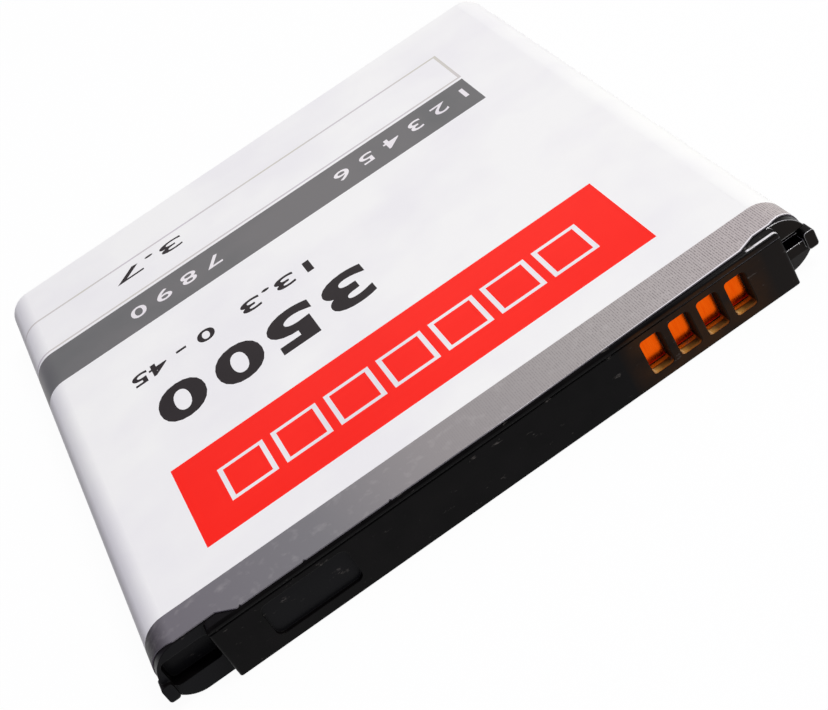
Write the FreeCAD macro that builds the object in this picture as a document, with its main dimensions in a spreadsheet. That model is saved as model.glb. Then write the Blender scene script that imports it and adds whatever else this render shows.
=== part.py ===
import FreeCAD, Part
import math
import os
import Sketcher

# Flat removable battery pack for a mobile phone, in millimetres.
# X runs along the contact edge and Y from the contact face (low) to the far end (high).
# Z is up, with the printed face on top. The origin is the middle of the underside.

doc = FreeCAD.newDocument("PhoneBatteryPack")
sheet = doc.addObject("Spreadsheet::Sheet", "Sizes")

# Driving dimensions. Depths are counted from the contact face unless the name says otherwise,
# left and right places from that side of the pack, and heights from the underside.
drivingSizes = {
    # whole pack
    "packWidth": 57.0,
    "packLength": 63.0,
    "packThick": 5.2,
    "labelFilm": 0.1,
    # drawn cell can and its welded lid
    "cellDepth": 4.3,
    "canWall": 0.3,
    "canHeadspace": 1.2,
    "canShoulder": 0.6,
    "canBaseRadius": 0.6,
    "lidThick": 0.8,
    # negative terminal in the lid
    "terminalPlace": 0.0,
    "dishLength": 8.0,
    "dishHeight": 2.4,
    "dishDeep": 0.3,
    "gasketFlange": 0.35,
    "gasketWall": 0.3,
    "gasketCollar": 3.0,
    "gasketCollarThick": 0.2,
    "rivetShank": 1.3,
    "rivetPlateLength": 6.4,
    "rivetPlateHeight": 2.0,
    "rivetPlateThick": 0.4,
    "rivetTail": 2.2,
    "rivetTailThick": 0.3,
    # filling hole and vent score in the lid, counted in from the nearer side
    "fillIn": 8.5,
    "fillHole": 1.2,
    "plugHead": 1.9,
    "plugDome": 0.25,
    "ventIn": 9.9,
    "ventLength": 5.0,
    "ventHeight": 2.0,
    "ventScoreWide": 0.2,
    "ventScoreDeep": 0.25,
    # insulating paper on the lid, inside the cap's cavity
    "paperThick": 0.12,
    "paperClear": 0.1,
    "paperCorner": 0.8,
    "paperMargin": 0.3,
    # moulded contact cap
    "wingSetback": 1.1,
    "earWide": 0.9,
    "earHeight": 1.5,
    "earOut": 0.15,
    "earProud": 0.4,
    "earDeep": 1.2,
    "earCorner": 0.25,
    "leftEarLow": 1.15,
    "rightEarLow": 1.55,
    "blockLeft": 4.9,
    "blockRight": 2.6,
    "blockCorner": 0.45,
    "blockEdgeRadius": 0.25,
    "grooveDown": 0.4,
    "grooveHeight": 0.15,
    "grooveDeep": 0.1,
    "frontWall": 1.15,
    "shellWall": 0.5,
    "cavityLeft": 5.7,
    "cavityRight": 3.6,
    "windowCount": 4,
    "windowWidth": 1.75,
    "windowHeight": 3.0,
    "windowCorner": 0.3,
    "windowPitch": 2.5,
    "windowRight": 7.1,
    "windowLow": 0.95,
    "windowBevel": 0.12,
    "recessLeft": 8.75,
    "recessWidth": 7.35,
    "recessHeight": 3.1,
    "recessLow": 1.0,
    "recessDeep": 0.35,
    "recessCorner": 0.6,
    "leftSlotWall": 0.75,
    "leftSlotLow": 1.75,
    "leftSlotHeight": 2.45,
    "leftSlotCorner": 0.5,
    "rightSlotLow": 2.35,
    "rightSlotHeight": 1.1,
    "slotDeep": 1.2,
    "reliefHigh": 1.45,
    "reliefDepth": 1.6,
    "ribCount": 3,
    "ribWidth": 0.8,
    "ribReach": 0.3,
    "ribEnd": 1.2,
    # adhesive pads between cap and cell, and the far end bar
    "bondThick": 0.1,
    "bondHeight": 3.2,
    "bondMargin": 0.7,
    "bondInset": 0.4,
    "endBarThick": 1.0,
    "endBarRadius": 0.35,
    "endTapeThick": 0.1,
    "endTapeInset": 3.5,
    "endTapeMargin": 0.7,
    # protection board and the contact pads on its front
    "boardThick": 0.6,
    "boardClear": 0.08,
    "padWidth": 1.6,
    "padHeight": 2.7,
    "padThick": 0.08,
    # parts soldered to the back of the board, placed from the middle of the pack
    "mosfetPlace": 4.0,
    "mosfetLong": 4.4,
    "mosfetTall": 3.0,
    "mosfetThick": 1.0,
    "mosfetSpan": 6.4,
    "mosfetLeads": 4,
    "mosfetPitch": 0.65,
    "mosfetLeadWide": 0.25,
    "chipPlace": -5.5,
    "chipLong": 1.6,
    "chipTall": 2.9,
    "chipThick": 1.1,
    "chipSpan": 2.8,
    "chipLeads": 3,
    "chipPitch": 0.95,
    "chipLeadWide": 0.4,
    "leadThick": 0.15,
    "leadFoot": 0.45,
    "leadStandoff": 0.08,
    "resistorPlace": -8.6,
    "capacitorPlace": -10.6,
    "smallPitch": 1.2,
    "smallCount": 3,
    "resistorLong": 1.0,
    "resistorWide": 0.5,
    "resistorThick": 0.35,
    "capacitorLong": 1.0,
    "capacitorWide": 0.5,
    "capacitorThick": 0.35,
    "thermistorLong": 1.6,
    "thermistorWide": 0.8,
    "thermistorThick": 0.6,
    "endMetal": 0.25,
    "endMetalProud": 0.03,
    "blockPlateLong": 3.0,
    "blockPlateTall": 2.6,
    "blockPlateThick": 0.4,
    "plusPlateIn": 5.3,
    "minusPlatePlace": 16.0,
    # nickel tabs and the thermal cut-off between them
    "tabThick": 0.12,
    "tabWidth": 2.0,
    "tabBend": 0.5,
    "plusTabFoot": 4.2,
    "plusTabRun": 2.4,
    "minusTabFoot": 2.6,
    "minusTabRun": 1.3,
    "cutoffPlace": 6.8,
    "cutoffLong": 5.0,
    "cutoffTall": 2.6,
    "cutoffThick": 0.9,
    "cutoffCorner": 0.3,
    "cutoffLead": 2.8,
    # printed label wrapped round the pack
    "labelFront": 0.2,
    "labelBack": 0.1,
    "labelNotchLeft": 7.6,
    "labelNotchRight": 5.6,
    "labelNotchRun": 1.5,
    "labelNotchDepth": 1.25,
    "labelSideDepth": 2.4,
    "labelUnderDepth": 2.6,
}


def fillSheet():
    row = 0
    for alias, value in drivingSizes.items():
        row += 1
        sheet.set("A%d" % row, alias)
        sheet.set("B%d" % row, str(value))
        sheet.setAlias("B%d" % row, alias)
    doc.recompute()


fillSheet()

# places that several pieces share, written once from the sizes above
bodyWide = "(Sizes.packWidth - 2 * Sizes.labelFilm)"
bodyThick = "(Sizes.packThick - 2 * Sizes.labelFilm)"
bodyLow = "Sizes.labelFilm"
bodyHigh = "(Sizes.packThick - Sizes.labelFilm)"
middle = "Sizes.packThick / 2"
front = "(-Sizes.packLength / 2)"
leftSide = "(-Sizes.packWidth / 2)"
rightSide = "(Sizes.packWidth / 2)"
capBack = "(Sizes.cellDepth - Sizes.bondThick)"
blockLeftX = "(%s + Sizes.blockLeft)" % leftSide
blockRightX = "(%s - Sizes.blockRight)" % rightSide
cavityLeftX = "(%s + Sizes.cavityLeft)" % leftSide
cavityRightX = "(%s - Sizes.cavityRight)" % rightSide
cavityLow = "(%s + Sizes.shellWall)" % bodyLow
cavityHigh = "(%s - Sizes.shellWall)" % bodyHigh
lastWindowX = "(%s - Sizes.windowRight)" % rightSide
firstWindowX = "(%s - (Sizes.windowCount - 1) * Sizes.windowPitch)" % lastWindowX
windowMiddle = "(Sizes.windowLow + Sizes.windowHeight / 2)"
boardBack = "(Sizes.frontWall + Sizes.boardThick)"
gasketTop = "(Sizes.cellDepth + Sizes.dishDeep - Sizes.gasketFlange)"
rivetTop = "(%s - Sizes.rivetPlateThick)" % gasketTop
leadPlane = "(%s - Sizes.tabThick)" % rivetTop
canBase = "(Sizes.packLength - Sizes.endBarThick)"
cutoffRight = "(Sizes.cutoffPlace + Sizes.cutoffLong / 2)"
tapeLong = "(%s - 2 * Sizes.endTapeInset)" % bodyWide
tapeTall = "(%s - 2 * Sizes.endTapeMargin)" % bodyThick
fillX = "(%s - Sizes.fillIn)" % rightSide
ventX = "(%s + Sizes.ventIn)" % leftSide
plusPlateX = "(%s + Sizes.plusPlateIn)" % cavityLeftX
thermistorX = "((Sizes.minusPlatePlace + Sizes.blockPlateLong / 2 + %s) / 2)" % cavityRightX


def value(expression):
    result = sheet.evalExpression(expression)
    return float(getattr(result, "Value", result))


def count(alias):
    return int(round(value("Sizes." + alias)))


def yAt(depth):
    # the Y of a depth counted from the contact face
    return "(%s + %s)" % (front, depth)


def newBody(name):
    body = doc.addObject("PartDesign::Body", name)
    body.Label = name
    return body


def originPlane(body, role):
    return [item for item in body.Origin.OriginFeatures if item.Role == role][0]


def sketchOn(body, role, name, offset="0", across="0"):
    # offset runs along the plane's normal and across along the sketch's own X
    sketch = body.newObject("Sketcher::SketchObject", name)
    sketch.AttachmentSupport = [(originPlane(body, role), "")]
    sketch.MapMode = "FlatFace"
    sketch.setExpression("AttachmentOffset.Base.z", offset)
    sketch.setExpression("AttachmentOffset.Base.x", across)
    return sketch


def faceSketch(body, name, depth):
    # a sketch square to Y at a depth behind the contact face: its X is the pack's X, its Y the pack's Z
    return sketchOn(body, "XZ_Plane", name, "-%s" % yAt(depth))


def place(sketch, kind, item, point, expression):
    number = sketch.addConstraint(Sketcher.Constraint(kind, -1, 1, item, point, value(expression)))
    sketch.setExpression("Constraints[%d]" % number, expression)


def polygon(sketch, corners):
    # a closed outline through corners given as pairs of expressions
    points = [FreeCAD.Vector(value(x), value(y), 0) for x, y in corners]
    total = len(points)
    base = sketch.GeometryCount
    for n in range(total):
        sketch.addGeometry(Part.LineSegment(points[n], points[(n + 1) % total]))
    for n in range(total):
        sketch.addConstraint(Sketcher.Constraint("Coincident", base + n, 2, base + (n + 1) % total, 1))
    for n, (x, y) in enumerate(corners):
        place(sketch, "DistanceX", base + n, 1, x)
        place(sketch, "DistanceY", base + n, 1, y)


def rectangle(sketch, left, right, low, high):
    polygon(sketch, [(left, low), (right, low), (right, high), (left, high)])


def centredRectangle(sketch, x, y, width, height):
    left = "%s - %s / 2" % (x, width)
    right = "%s + %s / 2" % (x, width)
    low = "%s - %s / 2" % (y, height)
    high = "%s + %s / 2" % (y, height)
    rectangle(sketch, left, right, low, high)


def circle(sketch, x, y, diameter):
    item = sketch.addGeometry(
        Part.Circle(FreeCAD.Vector(value(x), value(y), 0), FreeCAD.Vector(0, 0, 1), value(diameter) / 2)
    )
    place(sketch, "DistanceX", item, 3, x)
    place(sketch, "DistanceY", item, 3, y)
    number = sketch.addConstraint(Sketcher.Constraint("Diameter", item, value(diameter)))
    sketch.setExpression("Constraints[%d]" % number, diameter)


def roundedRectangle(sketch, left, right, low, high, radius):
    # four sides joined by four tangent quarter arcs, anticlockwise from the lower left
    x0, x1, y0, y1, r = (value(item) for item in (left, right, low, high, radius))
    base = sketch.GeometryCount
    sides = [
        ((x0 + r, y0), (x1 - r, y0)),
        ((x1, y0 + r), (x1, y1 - r)),
        ((x1 - r, y1), (x0 + r, y1)),
        ((x0, y1 - r), (x0, y0 + r)),
    ]
    for start, end in sides:
        sketch.addGeometry(Part.LineSegment(FreeCAD.Vector(*start, 0), FreeCAD.Vector(*end, 0)))
    corners = [(x1 - r, y0 + r, 270), (x1 - r, y1 - r, 0), (x0 + r, y1 - r, 90), (x0 + r, y0 + r, 180)]
    for x, y, turn in corners:
        ring = Part.Circle(FreeCAD.Vector(x, y, 0), FreeCAD.Vector(0, 0, 1), r)
        sketch.addGeometry(Part.ArcOfCircle(ring, math.radians(turn), math.radians(turn + 90)))
    for n in range(4):
        arc = base + 4 + n
        sketch.addConstraint(Sketcher.Constraint("Tangent", base + n, 2, arc, 1))
        sketch.addConstraint(Sketcher.Constraint("Tangent", arc, 2, base + (n + 1) % 4, 1))
    for n in (0, 2):
        sketch.addConstraint(Sketcher.Constraint("Horizontal", base + n))
    sketch.addConstraint(Sketcher.Constraint("Vertical", base + 1))
    place(sketch, "DistanceX", base + 3, 1, left)
    place(sketch, "DistanceX", base + 1, 1, right)
    place(sketch, "DistanceY", base, 1, low)
    place(sketch, "DistanceY", base + 2, 1, high)
    for n in range(1, 4):
        sketch.addConstraint(Sketcher.Constraint("Equal", base + 4, base + 4 + n))
    number = sketch.addConstraint(Sketcher.Constraint("Radius", base + 4, r))
    sketch.setExpression("Constraints[%d]" % number, radius)


def stadium(sketch, width, height, x="0", y=middle):
    # a flat band with full-round ends, the pack's cross-section
    long = value(width) / 2
    r = value(height) / 2
    cx, cy = value(x), value(y)
    base = sketch.GeometryCount
    sketch.addGeometry(
        Part.LineSegment(FreeCAD.Vector(cx - long + r, cy - r, 0), FreeCAD.Vector(cx + long - r, cy - r, 0))
    )
    sketch.addGeometry(
        Part.LineSegment(FreeCAD.Vector(cx + long - r, cy + r, 0), FreeCAD.Vector(cx - long + r, cy + r, 0))
    )
    for centre, turn in ((cx + long - r, -90), (cx - long + r, 90)):
        ring = Part.Circle(FreeCAD.Vector(centre, cy, 0), FreeCAD.Vector(0, 0, 1), r)
        sketch.addGeometry(Part.ArcOfCircle(ring, math.radians(turn), math.radians(turn + 180)))
    joints = ((0, 2, 2, 1), (2, 2, 1, 1), (1, 2, 3, 1), (3, 2, 0, 1))
    for first, firstEnd, second, secondEnd in joints:
        sketch.addConstraint(
            Sketcher.Constraint("Tangent", base + first, firstEnd, base + second, secondEnd)
        )
    sketch.addConstraint(Sketcher.Constraint("Horizontal", base))
    place(sketch, "DistanceX", base + 2, 3, "%s + %s / 2 - %s / 2" % (x, width, height))
    place(sketch, "DistanceX", base + 3, 3, "%s - %s / 2 + %s / 2" % (x, width, height))
    place(sketch, "DistanceY", base + 2, 3, y)
    place(sketch, "DistanceY", base + 3, 3, y)
    number = sketch.addConstraint(Sketcher.Constraint("Radius", base + 2, r))
    sketch.setExpression("Constraints[%d]" % number, "%s / 2" % height)


def pad(body, name, sketch, length, reverse=True):
    # on a face sketch the pad grows away from the contact face unless reverse is off
    feature = body.newObject("PartDesign::Pad", name)
    feature.Profile = sketch
    feature.setExpression("Length", length)
    feature.Reversed = reverse
    return feature


def pocket(body, name, sketch, depth=None, reverse=False):
    # a cut that has to take something away, or the sketch points the wrong way
    doc.recompute()
    before = body.Shape.Volume
    feature = body.newObject("PartDesign::Pocket", name)
    feature.Profile = sketch
    if depth is None:
        feature.Type = "ThroughAll"
    else:
        feature.setExpression("Length", depth)
    feature.Reversed = reverse
    doc.recompute()
    if feature.Shape.Volume >= before:
        raise ValueError("%s cuts nothing" % name)
    return feature


def linear(body, name, originals, axis, length, copies):
    feature = body.newObject("PartDesign::LinearPattern", name)
    feature.Originals = originals
    feature.Direction = ([item for item in body.Origin.OriginFeatures if item.Role == axis][0], [""])
    feature.setExpression("Length", length)
    feature.setExpression("Occurrences", copies)
    body.Tip = feature
    return feature


def edgesWhere(feature, test):
    doc.recompute()
    return ["Edge%d" % (n + 1) for n, edge in enumerate(feature.Shape.Edges) if test(edge.BoundBox)]


def rounded(body, name, feature, radius, test):
    fillet = body.newObject("PartDesign::Fillet", name)
    fillet.Base = (feature, edgesWhere(feature, test))
    fillet.setExpression("Radius", radius)
    return fillet


def bevelled(body, name, feature, size, test):
    chamfer = body.newObject("PartDesign::Chamfer", name)
    chamfer.Base = (feature, edgesWhere(feature, test))
    chamfer.setExpression("Size", size)
    return chamfer


# how far an edge may stand off a plane and still be taken for one that lies in it
edgeReach = 0.01


def near(a, b):
    return abs(a - b) < edgeReach


def flatAt(box, depth):
    # an edge that lies wholly at one depth behind the contact face
    y = value(yAt(depth))
    return near(box.YMin, y) and near(box.YMax, y)


def box(name, x, depth, z, long, deep, tall):
    # a block centred on x and z that starts at a depth behind the contact face
    item = doc.addObject("Part::Box", name)
    item.setExpression("Length", long)
    item.setExpression("Width", deep)
    item.setExpression("Height", tall)
    item.setExpression("Placement.Base.x", "%s - %s / 2" % (x, long))
    item.setExpression("Placement.Base.y", yAt(depth))
    item.setExpression("Placement.Base.z", "%s - %s / 2" % (z, tall))
    return item


def fuse(name, pieces):
    joined = doc.addObject("Part::MultiFuse", name)
    joined.Shapes = pieces
    joined.Label = name
    return joined


def cellCan():
    # deep-drawn can with its winding sealed inside, open only at the lid's seat
    body = newBody("cell_can")
    section = faceSketch(body, "canSection", "Sizes.cellDepth")
    stadium(section, bodyWide, bodyThick)
    shell = pad(body, "canShell", section, "%s - Sizes.cellDepth" % canBase)
    base = rounded(body, "canBaseEdge", shell, "Sizes.canBaseRadius", lambda b: flatAt(b, canBase))
    seat = faceSketch(body, "lidSeat", "Sizes.cellDepth")
    stadium(seat, "(%s - 2 * Sizes.canWall)" % bodyWide, "(%s - 2 * Sizes.canWall)" % bodyThick)
    pocket(body, "lidSeatCut", seat, "Sizes.lidThick")
    space = faceSketch(body, "headspace", "(Sizes.cellDepth + Sizes.lidThick)")
    inset = "2 * (Sizes.canWall + Sizes.canShoulder)"
    stadium(space, "(%s - %s)" % (bodyWide, inset), "(%s - %s)" % (bodyThick, inset))
    pocket(body, "headspaceCut", space, "Sizes.canHeadspace")
    return body


def cellLid():
    # stamped lid with the terminal's dish and hole, the filling hole and a scored vent
    body = newBody("cell_lid")
    section = faceSketch(body, "lidSection", "Sizes.cellDepth")
    stadium(section, "(%s - 2 * Sizes.canWall)" % bodyWide, "(%s - 2 * Sizes.canWall)" % bodyThick)
    pad(body, "lidPlate", section, "Sizes.lidThick")
    dish = faceSketch(body, "terminalDish", "Sizes.cellDepth")
    dishEnds = "Sizes.dishHeight / 4"
    roundedRectangle(
        dish,
        "Sizes.terminalPlace - Sizes.dishLength / 2",
        "Sizes.terminalPlace + Sizes.dishLength / 2",
        "%s - Sizes.dishHeight / 2" % middle,
        "%s + Sizes.dishHeight / 2" % middle,
        dishEnds,
    )
    pocket(body, "terminalDishCut", dish, "Sizes.dishDeep")
    holes = faceSketch(body, "lidHoles", "Sizes.cellDepth")
    circle(holes, "Sizes.terminalPlace", middle, "Sizes.rivetShank + 2 * Sizes.gasketWall")
    circle(holes, fillX, middle, "Sizes.fillHole")
    pocket(body, "lidHolesCut", holes)
    score = faceSketch(body, "ventScore", "Sizes.cellDepth")
    stadium(score, "Sizes.ventLength", "Sizes.ventHeight", ventX)
    inner = "2 * Sizes.ventScoreWide"
    stadium(
        score,
        "(Sizes.ventLength - %s)" % inner,
        "(Sizes.ventHeight - %s)" % inner,
        ventX,
    )
    pocket(body, "ventScoreCut", score, "Sizes.ventScoreDeep")
    return body


def terminalGasket():
    # moulded seal: flange in the dish, sleeve through the lid and a collar inside
    body = newBody("terminal_gasket")
    fit = "Sizes.rivetShank + 2 * Sizes.gasketWall"
    flange = faceSketch(body, "gasketFlangeOutline", gasketTop)
    roundedRectangle(
        flange,
        "Sizes.terminalPlace - Sizes.dishLength / 2",
        "Sizes.terminalPlace + Sizes.dishLength / 2",
        "%s - Sizes.dishHeight / 2" % middle,
        "%s + Sizes.dishHeight / 2" % middle,
        "Sizes.dishHeight / 4",
    )
    pad(body, "gasketFlangePad", flange, "Sizes.gasketFlange")
    sleeve = faceSketch(body, "gasketSleeveOutline", gasketTop)
    circle(sleeve, "Sizes.terminalPlace", middle, fit)
    pad(
        body,
        "gasketSleeve",
        sleeve,
        "Sizes.cellDepth + Sizes.lidThick + Sizes.gasketCollarThick - %s" % gasketTop,
    )
    collar = faceSketch(body, "gasketCollarOutline", "(Sizes.cellDepth + Sizes.lidThick)")
    circle(collar, "Sizes.terminalPlace", middle, "Sizes.gasketCollar")
    pad(body, "gasketCollarPad", collar, "Sizes.gasketCollarThick")
    bore = faceSketch(body, "gasketBore", gasketTop)
    circle(bore, "Sizes.terminalPlace", middle, "Sizes.rivetShank")
    pocket(body, "gasketBoreCut", bore)
    return body


def terminalRivet():
    # nickel-plated negative terminal: plate outside, shank, and the tail spread inside
    body = newBody("terminal_rivet")
    plate = faceSketch(body, "rivetPlateOutline", rivetTop)
    roundedRectangle(
        plate,
        "Sizes.terminalPlace - Sizes.rivetPlateLength / 2",
        "Sizes.terminalPlace + Sizes.rivetPlateLength / 2",
        "%s - Sizes.rivetPlateHeight / 2" % middle,
        "%s + Sizes.rivetPlateHeight / 2" % middle,
        "Sizes.rivetPlateHeight / 5",
    )
    pad(body, "rivetPlate", plate, "Sizes.rivetPlateThick")
    tailDepth = "(Sizes.cellDepth + Sizes.lidThick + Sizes.gasketCollarThick)"
    shank = faceSketch(body, "rivetShankOutline", gasketTop)
    circle(shank, "Sizes.terminalPlace", middle, "Sizes.rivetShank")
    pad(body, "rivetShankPad", shank, "%s + Sizes.rivetTailThick - %s" % (tailDepth, gasketTop))
    tail = faceSketch(body, "rivetTailOutline", tailDepth)
    circle(tail, "Sizes.terminalPlace", middle, "Sizes.rivetTail")
    pad(body, "rivetTailPad", tail, "Sizes.rivetTailThick")
    return body


def fillPlug():
    # plug pressed into the filling hole, with a low domed head welded over it
    body = newBody("fill_plug")
    half = sketchOn(body, "XY_Plane", "plugHalf", middle, fillX)
    seat = yAt("Sizes.cellDepth")
    rim = "(Sizes.plugDome / 3)"
    polygon(
        half,
        [
            ("0", "%s - Sizes.plugDome" % seat),
            ("Sizes.plugHead / 4", "%s - Sizes.plugDome" % seat),
            ("Sizes.plugHead / 2", "%s - %s" % (seat, rim)),
            ("Sizes.plugHead / 2", seat),
            ("Sizes.fillHole / 2", seat),
            ("Sizes.fillHole / 2", "%s + Sizes.lidThick" % seat),
            ("0", "%s + Sizes.lidThick" % seat),
        ],
    )
    turn = body.newObject("PartDesign::Revolution", "plugTurn")
    turn.Profile = half
    turn.ReferenceAxis = (half, ["V_Axis"])
    turn.Angle = 360
    return body


def lidPaper():
    # adhesive fibre paper over the lid, cut out round the terminal, tab foot, plug and vent
    body = newBody("lid_insulator")
    depth = "(Sizes.cellDepth - Sizes.paperThick)"
    insideRibs = "(Sizes.ribReach + Sizes.paperClear)"
    sheetOutline = faceSketch(body, "paperOutline", depth)
    roundedRectangle(
        sheetOutline,
        "%s + Sizes.paperClear" % cavityLeftX,
        "%s - Sizes.paperClear" % cavityRightX,
        "%s + %s" % (cavityLow, insideRibs),
        "%s - %s" % (cavityHigh, insideRibs),
        "Sizes.paperCorner",
    )
    pad(body, "paperSheet", sheetOutline, "Sizes.paperThick")
    holes = faceSketch(body, "paperHoles", depth)
    margin = "2 * Sizes.paperMargin"
    centredRectangle(
        holes,
        "Sizes.terminalPlace",
        middle,
        "(Sizes.dishLength + %s)" % margin,
        "(Sizes.dishHeight + %s / 2)" % margin,
    )
    rectangle(
        holes,
        "%s - Sizes.tabThick / 2 - Sizes.paperMargin" % plusUpright,
        "%s + Sizes.plusTabFoot + Sizes.paperMargin" % plusFootLeft,
        "%s - Sizes.tabWidth / 2 - Sizes.paperMargin" % middle,
        "%s + Sizes.tabWidth / 2 + Sizes.paperMargin" % middle,
    )
    circle(holes, fillX, middle, "Sizes.plugHead + %s" % margin)
    stadium(
        holes,
        "(Sizes.ventLength + %s)" % margin,
        "(Sizes.ventHeight + %s)" % margin,
        ventX,
    )
    pocket(body, "paperHolesCut", holes)
    return body


# the folded tabs: each has a foot on the cell's side, an upright run and a foot on its weld plate
halfTab = "Sizes.tabThick / 2"
plateTop = "(%s - %s)" % (yAt("(%s + Sizes.blockPlateThick)" % boardBack), "(-%s)" % halfTab)
plusPlateRight = "(%s + Sizes.blockPlateLong / 2)" % plusPlateX
plusUpright = "(%s + Sizes.plusTabRun)" % plusPlateRight
plusFootLeft = "(%s + Sizes.tabBend)" % plusUpright
minusPlateLeft = "(Sizes.minusPlatePlace - Sizes.blockPlateLong / 2)"
minusUpright = "(%s - Sizes.minusTabRun)" % minusPlateLeft
minusFootRight = "(%s - Sizes.tabBend)" % minusUpright


def foldedTab(name, footEnd, footBend, upright, plateBend, plateEnd, footY):
    # a strip swept along straight runs and two tangent bends, seen from above
    body = newBody(name)
    sketch = sketchOn(body, "XY_Plane", name + "_path", middle)
    bend = value("Sizes.tabBend")
    xs = [value(item) for item in (footEnd, footBend, upright, plateBend, plateEnd)]
    y0, y1 = value(footY), value(plateTop)
    side = 1 if xs[2] > xs[1] else -1
    points = [
        (xs[0], y0),
        (xs[1], y0),
        (xs[2], y0 - bend),
        (xs[2], y1 + bend),
        (xs[3], y1),
        (xs[4], y1),
    ]
    vectors = [FreeCAD.Vector(x, y, 0) for x, y in points]
    sketch.addGeometry(Part.LineSegment(vectors[0], vectors[1]))
    sketch.addGeometry(Part.LineSegment(vectors[2], vectors[3]))
    sketch.addGeometry(Part.LineSegment(vectors[4], vectors[5]))
    up = FreeCAD.Vector(0, 0, 1)
    lower = Part.Circle(FreeCAD.Vector(xs[1], y0 - bend, 0), up, bend)
    upper = Part.Circle(FreeCAD.Vector(xs[3], y1 + bend, 0), up, bend)
    quarter = math.pi / 2
    lowerStart = 0 if side > 0 else quarter
    upperStart = math.pi if side > 0 else 3 * quarter
    sketch.addGeometry(Part.ArcOfCircle(lower, lowerStart, lowerStart + quarter))
    sketch.addGeometry(Part.ArcOfCircle(upper, upperStart, upperStart + quarter))
    lowerEnds = (2, 1) if side > 0 else (1, 2)
    upperEnds = (1, 2) if side > 0 else (2, 1)
    sketch.addConstraint(Sketcher.Constraint("Tangent", 0, 2, 3, lowerEnds[0]))
    sketch.addConstraint(Sketcher.Constraint("Tangent", 3, lowerEnds[1], 1, 1))
    sketch.addConstraint(Sketcher.Constraint("Tangent", 1, 2, 4, upperEnds[0]))
    sketch.addConstraint(Sketcher.Constraint("Tangent", 4, upperEnds[1], 2, 1))
    sketch.addConstraint(Sketcher.Constraint("Horizontal", 0))
    sketch.addConstraint(Sketcher.Constraint("Vertical", 1))
    place(sketch, "DistanceX", 0, 1, footEnd)
    place(sketch, "DistanceY", 0, 1, footY)
    place(sketch, "DistanceX", 1, 1, upright)
    place(sketch, "DistanceX", 2, 2, plateEnd)
    place(sketch, "DistanceY", 2, 2, plateTop)
    sketch.addConstraint(Sketcher.Constraint("Equal", 3, 4))
    number = sketch.addConstraint(Sketcher.Constraint("Radius", 3, bend))
    sketch.setExpression("Constraints[%d]" % number, "Sizes.tabBend")
    section = sketchOn(body, "YZ_Plane", name + "_section", footEnd)
    centredRectangle(section, footY, middle, "Sizes.tabThick", "Sizes.tabWidth")
    strip = body.newObject("PartDesign::AdditivePipe", name + "_strip")
    strip.Profile = section
    strip.Spine = (sketch, [])
    return body


def plusTab():
    lidFace = "(%s - %s)" % (yAt("Sizes.cellDepth"), halfTab)
    return foldedTab(
        "positive_tab",
        "(%s + Sizes.plusTabFoot)" % plusFootLeft,
        plusFootLeft,
        plusUpright,
        "(%s - Sizes.tabBend)" % plusUpright,
        "(%s - Sizes.blockPlateLong / 2)" % plusPlateX,
        lidFace,
    )


def minusTab():
    leadFace = "(%s - %s)" % (yAt(leadPlane), halfTab)
    return foldedTab(
        "negative_tab",
        "(%s - Sizes.minusTabFoot)" % minusFootRight,
        minusFootRight,
        minusUpright,
        "(%s + Sizes.tabBend)" % minusUpright,
        "(Sizes.minusPlatePlace + Sizes.blockPlateLong / 2)",
        leadFace,
    )


def thermalCutoff():
    # resettable cut-off lying on the paper, its flat leads at the height of the rivet's plate
    body = newBody("thermal_cutoff")
    back = "(Sizes.cellDepth - Sizes.paperThick)"
    case = faceSketch(body, "cutoffCaseOutline", "(%s - Sizes.cutoffThick)" % back)
    roundedRectangle(
        case,
        "Sizes.cutoffPlace - Sizes.cutoffLong / 2",
        cutoffRight,
        "%s - Sizes.cutoffTall / 2" % middle,
        "%s + Sizes.cutoffTall / 2" % middle,
        "Sizes.cutoffCorner",
    )
    pad(body, "cutoffCase", case, "Sizes.cutoffThick")
    leads = faceSketch(body, "cutoffLeads", leadPlane)
    rectangle(
        leads,
        "Sizes.terminalPlace - Sizes.rivetPlateLength / 4",
        "%s + Sizes.cutoffLead" % cutoffRight,
        "%s - Sizes.tabWidth / 2" % middle,
        "%s + Sizes.tabWidth / 2" % middle,
    )
    pad(body, "cutoffLeadStrip", leads, "Sizes.tabThick")
    return body


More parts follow.
